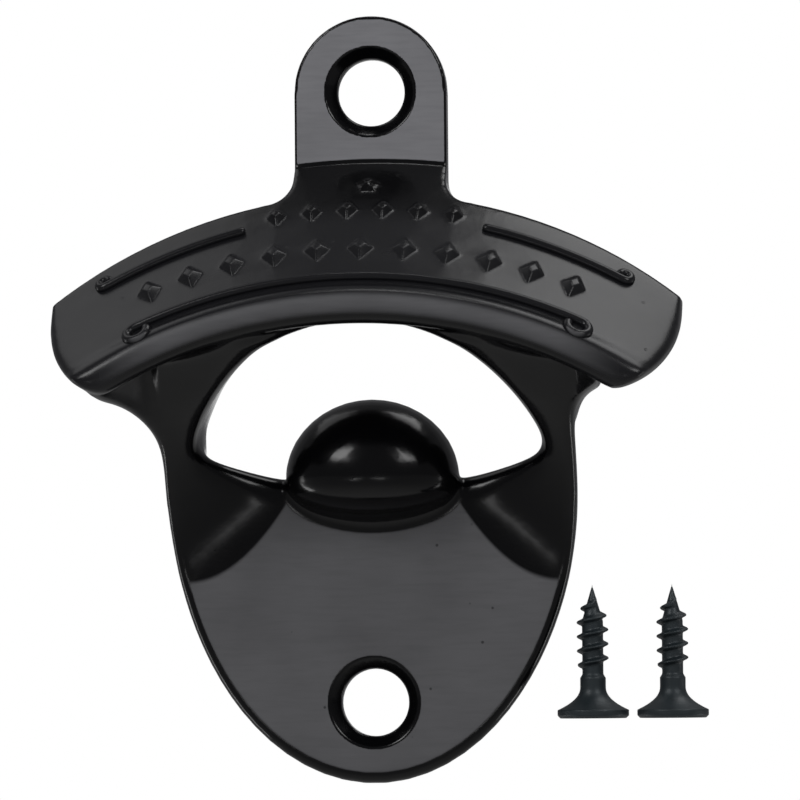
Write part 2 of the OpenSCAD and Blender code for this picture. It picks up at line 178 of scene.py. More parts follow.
class OrnamentSettings(PropertyGroup):
    """Sizes of the raised ornament on the hood."""

    line: length_property("Line", "Radius of the raised scroll lines", 0.55)
    lozenge_w: length_property("Lozenge width", "Width of a raised lozenge", 3.7)
    lozenge_l: length_property("Lozenge length", "Length of a raised lozenge, up the hood's face", 5.9)
    relief: length_property("Relief", "Height of lozenges and star above the face", 0.7)
    star: length_property("Star", "Radius of the raised star", 1.9)


class ScrewSettings(PropertyGroup):
    """Sizes and finish of the fixing screws."""

    skin: length_property("Skin", "Cell size of a screw's softened skin", 0.1)
    softening: count_property("Softening", "Rounds of smoothing on the skin", 1)
    coating: colour_property("Coating", "Colour of the phosphate coating", "#1f272b")
    dull: share_property("Dullness", "Roughness of the coating", 0.46)


class StageSettings(PropertyGroup):
    """The camera, the lights and the floor."""

    distance: FloatProperty(name="Distance", description="Camera distance", unit="LENGTH", default=0.65)
    azimuth: FloatProperty(
        name="Azimuth", description="Camera turn to the right", subtype="ANGLE", default=math.radians(5.0)
    )
    elevation: FloatProperty(
        name="Elevation", description="Camera height angle", subtype="ANGLE", default=math.radians(-2.75)
    )
    roll: FloatProperty(
        name="Roll", description="Camera tilt", subtype="ANGLE", default=math.radians(0.45)
    )
    paper: colour_property("Paper", "Colour of the floor and the backdrop", "#ececea")
    surround: colour_property("Surround", "Colour of the room around the stage", "#767678")


def add_node(tree, kind, settings=None, **sockets):
    """Add a node, set its properties, and fill its inputs with values or with other nodes' outputs."""
    node = tree.nodes.new(kind)
    for name, value in (settings or {}).items():
        setattr(node, name, value)
    for name, value in sockets.items():
        socket = node.inputs[int(name[1:])] if name[0] == "_" else node.inputs[name.replace("_", " ")]
        if isinstance(value, bpy.types.NodeSocket):
            tree.links.new(value, socket)
        else:
            socket.default_value = value
    return node.outputs


def new_material(name):
    """An empty node material with its output, ready for a shader."""
    material = bpy.data.materials.new(name)
    material.use_nodes = True
    tree = material.node_tree
    tree.nodes.clear()
    return material, tree


def rubbed_and_sheen_faces(tree, split_place, aside, facing, on_tab, between_wings):
    """How far wear and painted sheen reach: the forward-facing flat faces of plate and tab, and a painted
    highlight on the very front of the lip.
    """
    near_wall = add_node(
        tree, "ShaderNodeMapRange", Value=split_place["Y"], From_Min=FLAT_DEPTH[0], From_Max=FLAT_DEPTH[1]
    )["Result"]
    forward = add_node(
        tree, "ShaderNodeMapRange", {"interpolation_type": "SMOOTHSTEP"},
        Value=facing, From_Min=FLAT_FACING[0], From_Max=FLAT_FACING[1],
    )["Result"]
    flat = add_node(tree, "ShaderNodeMath", {"operation": "MULTIPLY"}, _0=near_wall, _1=forward)["Value"]
    # On the plate it ends below the cheeks' feet, on an arc that rises towards the middle.
    inwards = add_node(tree, "ShaderNodeMath", {"operation": "SUBTRACT"}, _0=ARC_ASIDE, _1=aside)["Value"]
    arc = add_node(tree, "ShaderNodeMath", {"operation": "MULTIPLY"}, _0=inwards, _1=inwards)["Value"]
    above_arc = add_node(
        tree, "ShaderNodeMath", {"operation": "MULTIPLY_ADD"}, _0=arc, _1=-ARC_BEND, _2=split_place["Z"]
    )["Value"]
    below_feet = add_node(
        tree, "ShaderNodeMapRange", {"interpolation_type": "SMOOTHSTEP"},
        Value=above_arc, From_Min=ARC_HEIGHT[0], From_Max=ARC_HEIGHT[1],
    )["Result"]
    # Below the arc and on the tab, the faces take wear and painted sheen.
    open_to_rubbing_and_sheen = add_node(
        tree, "ShaderNodeMath", {"operation": "MAXIMUM"}, _0=below_feet, _1=on_tab
    )["Value"]
    flat = add_node(
        tree, "ShaderNodeMath", {"operation": "MULTIPLY"}, _0=flat, _1=open_to_rubbing_and_sheen
    )["Value"]
    # A painted highlight lies along the lip's forward-facing front, in a narrow strip that ends short of
    # the wings.
    at_front = add_node(
        tree, "ShaderNodeMapRange", Value=split_place["Y"], From_Min=LIP_DEPTHS[0], From_Max=LIP_DEPTHS[1]
    )["Result"]
    lip_forward = add_node(
        tree, "ShaderNodeMapRange", {"interpolation_type": "SMOOTHSTEP"},
        Value=facing, From_Min=LIP_FACING[0], From_Max=LIP_FACING[1], To_Max=LIP_HIGHLIGHT,
    )["Result"]
    lip = add_node(
        tree, "ShaderNodeMath", {"operation": "MULTIPLY"}, _0=at_front, _1=lip_forward
    )["Value"]
    lip = add_node(tree, "ShaderNodeMath", {"operation": "MULTIPLY"}, _0=lip, _1=between_wings)["Value"]
    return add_node(tree, "ShaderNodeMath", {"operation": "MAXIMUM"}, _0=flat, _1=lip)["Value"]


def hood_handling_and_sheen(tree, place, between_wings):
    """Where handling dulls the hood's paint and a painted sheen lightens it: the hood's face up to the
    tab's foot, and the wings' ends.
    """
    from_axis = add_node(
        tree, "ShaderNodeMapping", Vector=place, Location=(0.0, 0.0, -HOOD_AXIS_Z), Scale=(1.0, 0.0, 1.0)
    )["Vector"]
    reach = add_node(tree, "ShaderNodeVectorMath", {"operation": "LENGTH"}, _0=from_axis)["Value"]
    below_tab = add_node(
        tree, "ShaderNodeMapRange", {"interpolation_type": "SMOOTHSTEP"},
        Value=reach, From_Min=SHEEN_REACH[0], From_Max=SHEEN_REACH[1],
    )["Result"]
    off_lip = add_node(
        tree, "ShaderNodeMapRange", {"interpolation_type": "SMOOTHSTEP"},
        Value=reach, From_Min=OFF_LIP_REACH[0], From_Max=OFF_LIP_REACH[1],
    )["Result"]
    on_wings = add_node(
        tree, "ShaderNodeMath", {"operation": "SUBTRACT"}, _0=1.0, _1=between_wings
    )["Value"]
    face = add_node(tree, "ShaderNodeMath", {"operation": "MAXIMUM"}, _0=off_lip, _1=on_wings)["Value"]
    return add_node(tree, "ShaderNodeMath", {"operation": "MULTIPLY"}, _0=below_tab, _1=face)["Value"]


def stove_paint(settings):
    """Gloss black stove paint over an as-cast surface.

    The eye sees a deep black with soft reflections, a fine orange peel over slow casting waves,
    hairlines where the flat faces were scuffed, and a few pits and specks of dust in the paint.
    The flat faces also carry painted sheen in their grey, the lip's front a painted highlight,
    the hood's face and wings' ends a painted sheen, and the tab painted light from above.
    """
    hairline_cell = (3.57 * MM, 2.5 * MM, 0.4 * MM)
    speck_cell = 3.85 * MM
    # The edge of a speck and its full depth, in cells: about 0.3 mm across
    speck_edge = (0.055, 0.03)
    wave_length = 5.0 * MM
    peel_length = 0.909 * MM
    patch_length = 11.1 * MM
    # Least and most rubbing along hairlines and over patches, and what is left of it in a pit
    hairline_shares = {"To_Min": 0.9, "To_Max": 1.04}
    patch_shares = {"To_Min": 0.86, "To_Max": 1.08}
    pit_share = 0.3
    # How far handling goes towards rubbed roughness, and what patches add to the roughness
    handled_share = 0.25
    patch_roughness = 0.08

    material, tree = new_material("gloss_black_stove_paint")
    coordinates = add_node(tree, "ShaderNodeTexCoord")
    place = coordinates["Object"]
    split_place = add_node(tree, "ShaderNodeSeparateXYZ", Vector=place)
    facing = add_node(tree, "ShaderNodeSeparateXYZ", Vector=coordinates["Normal"])["Y"]
    on_tab = add_node(
        tree, "ShaderNodeMapRange", Value=split_place["Z"], From_Min=TAB_HEIGHT[0], From_Max=TAB_HEIGHT[1]
    )["Result"]
    aside = add_node(tree, "ShaderNodeMath", {"operation": "ABSOLUTE"}, _0=split_place["X"])["Value"]
    between_wings = add_node(
        tree, "ShaderNodeMapRange", {"interpolation_type": "SMOOTHSTEP"},
        Value=aside, From_Min=WINGS_INNER[0], From_Max=WINGS_INNER[1],
    )["Result"]
    flat = rubbed_and_sheen_faces(tree, split_place, aside, facing, on_tab, between_wings)
    handling_and_sheen = hood_handling_and_sheen(tree, place, between_wings)

    # Rubbing lines run across the faces, broken by finer ones.
    stretched = add_node(
        tree, "ShaderNodeMapping", Vector=place, Scale=tuple(1 / length for length in hairline_cell)
    )["Vector"]
    hairlines = add_node(tree, "ShaderNodeTexNoise", Vector=stretched, Scale=1.0, Detail=4.0)["Fac"]
    rubbing = add_node(
        tree, "ShaderNodeMapRange", Value=hairlines, **NOISE_SPAN, **hairline_shares
    )["Result"]
    rubbed_and_sheen = add_node(
        tree, "ShaderNodeMath", {"operation": "MULTIPLY", "use_clamp": True}, _0=rubbing, _1=flat
    )["Value"]
    # Wear and its painted sheen pass over the pits and leave them dark.
    specks = add_node(tree, "ShaderNodeTexVoronoi", Vector=place, Scale=1 / speck_cell)["Distance"]
    specks = add_node(
        tree, "ShaderNodeMapRange", Value=specks, From_Min=speck_edge[0], From_Max=speck_edge[1]
    )["Result"]
    unpitted = add_node(tree, "ShaderNodeMapRange", Value=specks, To_Min=1.0, To_Max=pit_share)["Result"]
    rubbed_and_sheen = add_node(tree, "ShaderNodeMath", {"operation": "MULTIPLY"}, _0=rubbed_and_sheen, _1=unpitted)["Value"]
    waves = add_node(tree, "ShaderNodeTexNoise", Vector=place, Scale=1 / wave_length, Detail=1.0)["Fac"]
    peel = add_node(tree, "ShaderNodeTexNoise", Vector=place, Scale=1 / peel_length, Detail=2.0)["Fac"]
    patches = add_node(
        tree, "ShaderNodeTexNoise", Vector=place, Scale=1 / patch_length, Detail=3.0
    )["Fac"]

    # Painted light: towards the tab the grey turns lighter, for light falling from above.
    worn_and_sheen = add_node(
        tree, "ShaderNodeMix", {"data_type": "RGBA"},
        _0=on_tab, _6=settings.worn_and_sheen_paint, _7=settings.tab_wear_and_painted_light,
    )[2]
    mottle = add_node(tree, "ShaderNodeMapRange", Value=patches, **NOISE_SPAN, **patch_shares)["Result"]
    worn_and_sheen = add_node(tree, "ShaderNodeVectorMath", {"operation": "SCALE"}, _0=worn_and_sheen, Scale=mottle)["Vector"]
    # Painted sheen: the hood's face and the wings' ends take a lighter colour.
    colour = add_node(
        tree, "ShaderNodeMix", {"data_type": "RGBA"}, _0=handling_and_sheen, _6=settings.paint, _7=settings.hood_painted_sheen
    )[2]
    # Painted sheen and wear: the flat faces and the lip's front take the grey.
    colour = add_node(tree, "ShaderNodeMix", {"data_type": "RGBA"}, _0=rubbed_and_sheen, _6=colour, _7=worn_and_sheen)[2]
    dulled = add_node(
        tree, "ShaderNodeMath", {"operation": "MULTIPLY_ADD"}, _0=handling_and_sheen, _1=handled_share, _2=flat
    )["Value"]
    roughness = add_node(
        tree, "ShaderNodeMapRange", Value=dulled, To_Min=settings.gloss, To_Max=settings.rubbed_and_sheen
    )["Result"]
    roughness = add_node(
        tree, "ShaderNodeMath", {"operation": "MULTIPLY_ADD"},
        _0=patches, _1=patch_roughness, _2=roughness,
    )["Value"]
    # Each bump's pattern, strength and height; the specks are dents.
    bumps = (
        (waves, 0.5, 0.1 * MM),
        (peel, 0.5, 0.018 * MM),
        (hairlines, 0.35, 0.012 * MM),
        (specks, 0.6, -0.03 * MM),
    )
    relief = {}
    for pattern, strength, height in bumps:
        bump = add_node(
            tree, "ShaderNodeBump", Strength=strength, Distance=height, Height=pattern, **relief
        )
        relief = {"Normal": bump["Normal"]}
    # The index is lower than a clear enamel's 1.5, which keeps the blacks as deep as the object's.
    paint = add_node(
        tree, "ShaderNodeBsdfPrincipled", Base_Color=colour, Roughness=roughness, IOR=1.3, **relief
    )["BSDF"]
    add_node(tree, "ShaderNodeOutputMaterial", Surface=paint)
    return material


def phosphated_steel(settings):
    """Black phosphated steel, as on dry-wall screws.

    A thin crystal coating drinks the light: dark blue-grey, dull and slightly cloudy,
    with a soft sheen on the thread's crests.
    """
    cloud_length = 1.43 * MM
    # The crystals are far finer than this. They are drawn so coarse that they show.
    crystal_length = 0.125 * MM
    crystal_height = 0.006 * MM
    crystal_strength = 0.5
    dark_share = 0.55
    cloud_roughness = 0.16
    metal_share = 0.35

    material, tree = new_material("black_phosphated_steel")
    place = add_node(tree, "ShaderNodeTexCoord")["Object"]
    clouds = add_node(tree, "ShaderNodeTexNoise", Vector=place, Scale=1 / cloud_length, Detail=3.0)["Fac"]
    crystals = add_node(
        tree, "ShaderNodeTexNoise", Vector=place, Scale=1 / crystal_length, Detail=2.0
    )["Fac"]
    dark = [part * dark_share for part in settings.coating[:3]] + [1.0]
    colour = add_node(
        tree, "ShaderNodeMix", {"data_type": "RGBA"}, _0=clouds, _6=dark, _7=settings.coating
    )[2]
    smoothest = settings.dull - cloud_roughness / 2
    roughness = add_node(
        tree, "ShaderNodeMath", {"operation": "MULTIPLY_ADD"}, _0=clouds, _1=cloud_roughness, _2=smoothest
    )["Value"]
    normal = add_node(
        tree, "ShaderNodeBump", Strength=crystal_strength, Distance=crystal_height, Height=crystals
    )["Normal"]
    coating = add_node(
        tree, "ShaderNodeBsdfPrincipled",
        Base_Color=colour, Metallic=metal_share, Roughness=roughness, Normal=normal,
    )["BSDF"]
    add_node(tree, "ShaderNodeOutputMaterial", Surface=coating)
    return material


def studio_paper(name, colour, lit):
    """Matt studio paper: one even pale tone. Its lit share shows white to the eye and in reflections."""
    material, tree = new_material(name)
    paper = add_node(tree, "ShaderNodeBsdfDiffuse", Color=colour)["BSDF"]
    path = add_node(tree, "ShaderNodeLightPath")
    seen = path["Is Camera Ray"]
    for ray in ("Is Glossy Ray", "Is Transmission Ray"):
        seen = add_node(tree, "ShaderNodeMath", {"operation": "MAXIMUM"}, _0=seen, _1=path[ray])["Value"]
    seen = add_node(tree, "ShaderNodeMath", {"operation": "MULTIPLY"}, _0=seen, _1=lit)["Value"]
    glow = add_node(tree, "ShaderNodeEmission", Color=(1.0, 1.0, 1.0, 1.0), Strength=1.0)["Emission"]
    paper = add_node(tree, "ShaderNodeMixShader", _0=seen, _1=paper, _2=glow)["Shader"]
    add_node(tree, "ShaderNodeOutputMaterial", Surface=paper)
    return material


def direction(azimuth, elevation):
    """The direction towards a place around the object; azimuth 0 is in front, 90 degrees on the right."""
    flat = math.cos(elevation)
    return Vector((flat * math.sin(azimuth), -flat * math.cos(azimuth), math.sin(elevation)))


def only_select(piece):
    """Deselect everything, then select one object and make it active."""
    bpy.ops.object.select_all(action="DESELECT")
    piece.select_set(True)
    bpy.context.view_layer.objects.active = piece


def apply_modifier(piece, name, kind, **settings):
    """Add a modifier with its settings and apply it."""
    modifier = piece.modifiers.new(name, kind)
    for setting, value in settings.items():
        setattr(modifier, setting, value)
    only_select(piece)
    bpy.ops.object.modifier_apply(modifier=modifier.name)


def settle(piece, matrix):
    """Put a piece at a place of the frame, with that place in its mesh."""
    piece.matrix_world = matrix
    only_select(piece)
    bpy.ops.object.transform_apply(location=True, rotation=True, scale=True)


def finish_piece(piece, body, material):
    """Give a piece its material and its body."""
    piece.data.materials.clear()
    piece.data.materials.append(material)
    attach(piece, body)


def ramp(value, low, high):
    """0 up to low, 1 from high on, and a smooth rise between them; high may be the smaller one."""
    share = min(1.0, max(0.0, (value - low) / (high - low)))
    return share * share * (3 - 2 * share)


def casting_softness(place):
    """How far casting and paint have rounded the metal here: 0 is crisp and 1 the softest."""
    x, depth, height = abs(place.x) / MM, place.y / MM, place.z / MM
    cheek = ramp(x, *CHEEK_ASIDE) * ramp(height, *CHEEK_FOOT) * ramp(height, *CHEEK_TOP)
    tooth_foot = TOOTH_FOOT_SOFTNESS * ramp(x, *TOOTH_FOOT_ASIDE)
    tooth_foot *= ramp(height, *TOOTH_FOOT_LOW) * ramp(height, *TOOTH_FOOT_HIGH)
    wing = WING_SOFTNESS * ramp(x, *WING_ASIDE) * ramp(height, *WING_TOP)
    reach = math.hypot(place.x, place.z - HOOD_AXIS_Z) / MM
    from_edge = (HOOD_EDGE_R - math.hypot(place.x, place.z - HOOD_EDGE_Z)) / MM
    ornament = ramp(reach, *ORNAMENT_REACH) * ramp(from_edge, *ORNAMENT_FROM_EDGE)
    ornament *= ramp(depth, *ORNAMENT_DEPTH)
    hole = max(ramp(math.hypot(x, height - centre), *HOLE_RING) for centre in HOLE_HEIGHTS)
    plain = PLAIN_SOFTNESS + (CRISP_SOFTNESS - PLAIN_SOFTNESS) * max(ornament, hole)
    return max(plain, cheek, wing, tooth_foot)


def level_upper_lines(piece):
    """Press the solid's upper scroll lines back into the hood's face, where the scene lays its own."""
    steepness = math.hypot(1.0, HOOD_SLOPE)
    for vertex in piece.data.vertices:
        place = vertex.co
        turn = math.atan2(place.x, place.z - HOOD_AXIS_Z)
        reach = math.hypot(place.x, place.z - HOOD_AXIS_Z)
        beside = UPPER_LINE_TURNS[0] < abs(turn) < UPPER_LINE_TURNS[1]
        if not beside or reach < UPPER_LINE_REACH or place.y > UPPER_LINE_DEPTH:
            continue
        pull = HOOD_EDGE_R / math.hypot(place.x, place.z - HOOD_EDGE_Z)
        if pull < 1.0:
            place.x *= pull
            place.z = HOOD_EDGE_Z + (place.z - HOOD_EDGE_Z) * pull
            reach = math.hypot(place.x, place.z - HOOD_AXIS_Z)
        lift = ((reach - LIP_REACH) * HOOD_SLOPE - LIP_DEPTH - place.y) / steepness
        if lift > 0.0:
            outward = Vector((math.sin(turn), 0.0, math.cos(turn)))
            place -= (outward * HOOD_SLOPE - Vector((0.0, 1.0, 0.0))) * (lift / steepness)


def softened_copy(node, name, skin, rounds, softness=lambda place: 1.0, triangles=0, level=None):
    """A merged copy of a CAD node with a fine even skin and softened edges, as paint and casting give.

    Softness says how far each place is rounded, and triangles, where given, how many are left at the end.
    Level, where given, works on the skin before it is softened.
    """
    piece = bpy.data.objects.new(name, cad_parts[node].data.copy())
    piece.data.name = name
    bpy.context.scene.collection.objects.link(piece)
    only_select(piece)
    bpy.ops.object.mode_set(mode="EDIT")
    bpy.ops.mesh.select_all(action="SELECT")
    bpy.ops.mesh.remove_doubles(threshold=0.001 * MM)
    bpy.ops.object.mode_set(mode="OBJECT")
    apply_modifier(piece, "Skin", "REMESH", mode="VOXEL", voxel_size=skin, adaptivity=0.0)
    if level:
        level(piece)
    shares = {}
    for vertex in piece.data.vertices:
        shares.setdefault(round(softness(vertex.co), 2), []).append(vertex.index)
    group = piece.vertex_groups.new(name="softness")
    for share, vertices in shares.items():
        group.add(vertices, share, "REPLACE")
    apply_modifier(piece, "Soften", "SMOOTH", factor=0.5, iterations=rounds, vertex_group=group.name)
    piece.vertex_groups.clear()
    if triangles:
        count = 2 * len(piece.data.polygons)
        apply_modifier(piece, "Thin", "DECIMATE", ratio=min(1.0, triangles / count))
    only_select(piece)
    bpy.ops.object.shade_smooth()
    return piece


def hood_matrix(turn, reach, lift=0.0):
    """A place on the hood's face: X runs along the arc, Y up the slope and Z out of the face."""
    turn = math.radians(turn)
    along = Vector((math.cos(turn), 0.0, -math.sin(turn)))
    outward = Vector((math.sin(turn), 0.0, math.cos(turn)))
    up_slope = (outward + Vector((0.0, HOOD_SLOPE, 0.0))).normalized()
    out = along.cross(up_slope)
    place = outward * reach
    place += Vector((0.0, (reach - LIP_REACH) * HOOD_SLOPE - LIP_DEPTH, HOOD_AXIS_Z))
    matrix = Matrix((along, up_slope, out)).transposed().to_4x4()
    matrix.translation = place + out * lift
    return matrix


def scroll_line(name, start, end, reach, hook, drop, line):
    """A raised half-round line along the right half of the hood's arc, and its mirror image.

    It ends in a hook, which turns up or, with a radius below 0, down. The line comes down the slope
    towards that end, by drop.
    """
    lift = LINE_LIFT * line
    bpy.ops.object.select_all(action="DESELECT")
    bpy.ops.mesh.primitive_circle_add(vertices=LINE_POINTS, radius=line, fill_type="NOTHING")
    piece = bpy.context.active_object
    piece.name = name
    settle(piece, hood_matrix(start, reach, lift) @ Matrix.Rotation(math.pi / 2, 4, "Y"))
    bpy.ops.object.mode_set(mode="EDIT")
    bpy.ops.mesh.select_all(action="SELECT")
    bpy.ops.mesh.spin(
        steps=round((end - start) * LINE_STEPS_PER_DEGREE), angle=math.radians(start - end),
        center=(0.0, 0.0, HOOD_AXIS_Z), axis=(0.0, 1.0, 0.0),
    )
    # The last ring is still selected and turns on about a point above or below it.
    last = hood_matrix(end, reach, lift)
    up_slope = last.to_3x3().col[1].copy()
    out = last.to_3x3().col[2].copy()
    bpy.ops.mesh.spin(
        steps=HOOK_STEPS, angle=-math.copysign(HOOK_TURN, hook),
        center=last.translation + up_slope * hook, axis=out,
    )
    bpy.ops.object.mode_set(mode="OBJECT")
    for vertex in piece.data.vertices:
        turn = math.degrees(math.atan2(vertex.co.x, vertex.co.z - HOOD_AXIS_Z))
        share = min(1.0, max(0.0, (turn - start) / (end - start)))
        vertex.co -= hood_matrix(turn, reach).to_3x3().col[1] * (drop * share)
    apply_modifier(piece, "Mirror", "MIRROR", merge_threshold=0.02 * MM)
    bpy.ops.object.mode_set(mode="EDIT")
    bpy.ops.mesh.select_all(action="SELECT")
    bpy.ops.mesh.remove_doubles(threshold=0.005 * MM)
    bpy.ops.mesh.fill_holes(sides=0)
    bpy.ops.mesh.select_all(action="SELECT")
    bpy.ops.mesh.normals_make_consistent(inside=False)
    bpy.ops.object.mode_set(mode="OBJECT")
    apply_modifier(piece, "Round", "SUBSURF", levels=1, render_levels=1)
    only_select(piece)
    bpy.ops.object.shade_smooth()
    return piece


class OPENER_OT_stage(Operator):
    """Set up the camera, the soft lights, the floor and the backdrop"""

    bl_idname = "opener.stage"
    bl_label = "Stage"

    # Softboxes: azimuth and elevation in degrees, width, height and brightness of the sheet.
    lights = {
        "front_fill": (5.0, 12.0, 0.90, 0.90, 1.9),
        "left_softbox": (-38.0, 33.0, 0.36, 0.36, 11.0),
        "right_softbox": (44.0, 32.0, 0.36, 0.36, 9.5),
        "top_strip": (-2.0, 86.0, 0.30, 0.10, 9.0),
        "left_strip": (-95.0, -4.0, 0.14, 0.50, 4.0),
        "right_strip": (95.0, -4.0, 0.14, 0.50, 2.0),
        "low_left_strip": (-104.0, -28.0, 0.16, 0.60, 6.0),
        "low_right_strip": (107.0, -28.0, 0.16, 0.60, 5.0),
        "front_low_left_lamp": (-20.0, -14.0, 0.14, 0.08, 6.0),
        "front_low_right_lamp": (10.0, -14.0, 0.14, 0.08, 5.0),
        "right_rear_softbox": (120.0, 64.0, 0.50, 0.50, 3.9),
        "left_rear_softbox": (-122.0, 54.0, 0.50, 0.50, 0.9),
    }
    # The fill stands for pale walls all round, too even to show as a highlight.
    without_highlight = {"front_fill"}
    light_distance = 1.1
    # The picture's size, the frame's origin in it and its scale, then the camera's sensor in millimetres
    image_px = 800.0
    origin_px = (374.75, 397.5)
    px_per_mm = 9.06
    sensor_width = 36.0
    nearest_seen = 0.01
    floor_z = -1.20
    floor_half = 12.0
    floor_lit = 0.18
    backdrop_distance = 1.8
    backdrop_half = 0.21
    backdrop_lit = 1.0

    def execute(self, context):
        settings = context.scene.opener_stage
        self.add_camera(context, settings)
        for name, light in self.lights.items():
            self.add_softbox(name, *light)
        self.add_floor(settings)
        self.add_backdrop(settings)
        world = bpy.data.worlds.new("studio_room")
        world.use_nodes = True
        world.node_tree.nodes["Background"].inputs["Color"].default_value = settings.surround
        context.scene.world = world
        context.scene.view_settings.view_transform = "Standard"
        return {"FINISHED"}

    def add_camera(self, context, settings):
        """The camera looks at the frame's origin, shifted to where the photograph has it."""
        place = direction(settings.azimuth, settings.elevation) * settings.distance
        bpy.ops.object.camera_add(location=place)
        camera = context.active_object
        camera.name = "camera"
        aim = (-place).to_track_quat("-Z", "Y").to_matrix().to_4x4()
        camera.matrix_world = Matrix.Translation(place) @ aim @ Matrix.Rotation(-settings.roll, 4, "Z")
        camera.data.sensor_width = self.sensor_width
        camera.data.lens = self.sensor_width * settings.distance / (self.image_px / self.px_per_mm * MM)
        camera.data.shift_x = 0.5 - self.origin_px[0] / self.image_px
        camera.data.shift_y = self.origin_px[1] / self.image_px - 0.5
        camera.data.clip_start = self.nearest_seen
        context.scene.camera = camera

    def add_softbox(self, name, azimuth, elevation, width, height, level):
        """A flat soft light that faces the object; level is the brightness of its sheet."""
        place = direction(math.radians(azimuth), math.radians(elevation)) * self.light_distance
        bpy.ops.object.light_add(type="AREA", location=place)
        lamp = bpy.context.active_object
        lamp.name = name
        lamp.rotation_euler = (-place).to_track_quat("-Z", "Y").to_euler()
        lamp.visible_camera = False
        lamp.visible_glossy = name not in self.without_highlight
        lamp.data.shape = "RECTANGLE"
        lamp.data.size = width
        lamp.data.size_y = height
        lamp.data.energy = level * math.pi * width * height

    def add_floor(self, settings):
        """A wide pale floor below the object."""
        bpy.ops.object.select_all(action="DESELECT")
        bpy.ops.mesh.primitive_plane_add(size=2 * self.floor_half, location=(0.0, 0.0, self.floor_z))
        floor = bpy.context.active_object
        floor.name = "floor"
        paper = studio_paper("pale_floor_paper", settings.paper, self.floor_lit)
        floor.data.materials.append(paper)

    def add_backdrop(self, settings):
        """A lit white sheet far behind the object, square to the camera's axis."""
        towards_camera = direction(settings.azimuth, settings.elevation)
        bpy.ops.object.select_all(action="DESELECT")
        bpy.ops.mesh.primitive_plane_add(
            size=2 * self.backdrop_half, location=-towards_camera * self.backdrop_distance,
            rotation=towards_camera.to_track_quat("Z", "Y").to_euler(),
        )
        backdrop = bpy.context.active_object
        backdrop.name = "backdrop"
        paper = studio_paper("lit_backdrop_paper", settings.paper, self.backdrop_lit)
        backdrop.data.materials.append(paper)


class OPENER_OT_casting(Operator):
    """Make the painted casting: hood, cheeks, wall plate, tab and tooth in one smooth skin"""

    bl_idname = "opener.casting"
    bl_label = "Casting"

    def execute(self, context):
        settings = context.scene.opener_casting
        casting = softened_copy(
            "opener_body", "casting", settings.skin, settings.softening,
            casting_softness, settings.triangles, level_upper_lines,
        )
        finish_piece(casting, "opener", stove_paint(settings))
        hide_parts("opener_body")
        return {"FINISHED"}


class OPENER_OT_scrolls(Operator):
    """Lay the raised scroll lines with hooked ends on the hood's face"""

    bl_idname = "opener.scrolls"
    bl_label = "Scroll lines"

    # Inner and outer angle from the middle, distance from the hood's axis, hook radius and drop
    lines = {
        "scrolls_upper": (11.4, 26.0, 64.9, 0.62, 1.25),
        "scroll_lower": (0.0, 24.4, 57.9, -1.2, 0.0),
    }

    def execute(self, context):
        line = context.scene.opener_ornament.line
        paint = bpy.data.materials["gloss_black_stove_paint"]
        for name, (start, end, reach, hook, drop) in self.lines.items():
            piece = scroll_line(name, start, end, reach * MM, hook * MM, drop * MM, line)
            finish_piece(piece, "opener", paint)
        return {"FINISHED"}


class OPENER_OT_lozenges(Operator):
    """Set two rows of raised lozenges along the hood's face"""

    bl_idname = "opener.lozenges"
    bl_label = "Lozenges"

    # Row: first and last angle from the middle, distance from the hood's axis, number and size share.
    rows = {
        "lozenges_upper": (-8.44, 8.44, 65.9, 6, 0.8),
        "lozenges_lower": (-21.96, 21.96, 61.33, 11, 1.0),
    }
    edge_round = 0.18 * MM

    def execute(self, context):
        settings = context.scene.opener_ornament
        paint = bpy.data.materials["gloss_black_stove_paint"]
        for name, row in self.rows.items():
            piece = self.add_row(name, row, settings)
            finish_piece(piece, "opener", paint)
        return {"FINISHED"}

    def add_row(self, name, row, settings):
        """One lozenge is modelled, copied along the row and joined."""
        first, last, reach, count, share = row
        lozenges = [self.add_lozenge(settings, share)]
        for _ in range(count - 1):
            lozenge = bpy.data.objects.new(name, lozenges[0].data.copy())
            bpy.context.scene.collection.objects.link(lozenge)
            lozenges.append(lozenge)
        for index, lozenge in enumerate(lozenges):
            turn = first + (last - first) * index / (count - 1)
            settle(lozenge, hood_matrix(turn, reach * MM))
        only_select(lozenges[0])
        for lozenge in lozenges[1:]:
            lozenge.select_set(True)
        bpy.ops.object.join()
        piece = bpy.context.active_object
        piece.name = name
        bpy.ops.object.shade_smooth_by_angle(angle=SHARP_ANGLE)
        return piece

    def add_lozenge(self, settings, share):
        """A low four-sided pyramid with its point cut off, stretched up the slope, its edges rounded."""
        bpy.ops.object.select_all(action="DESELECT")
        bpy.ops.mesh.primitive_cone_add(
            vertices=4, radius1=1.0, radius2=TOP_SHARE, depth=settings.relief + RELIEF_SINK,
            location=(0.0, 0.0, (settings.relief - RELIEF_SINK) / 2),
        )
        lozenge = bpy.context.active_object
        only_select(lozenge)
        bpy.ops.object.transform_apply(location=True, rotation=True, scale=True)
        bpy.ops.object.mode_set(mode="EDIT")
        bpy.ops.mesh.select_all(action="SELECT")
        half_sizes = (settings.lozenge_w / 2 * share, settings.lozenge_l / 2 * share, 1.0)
        bpy.ops.transform.resize(value=half_sizes)
        bpy.ops.mesh.bevel(offset=self.edge_round, segments=3, affect="EDGES")
        bpy.ops.object.mode_set(mode="OBJECT")
        return lozenge


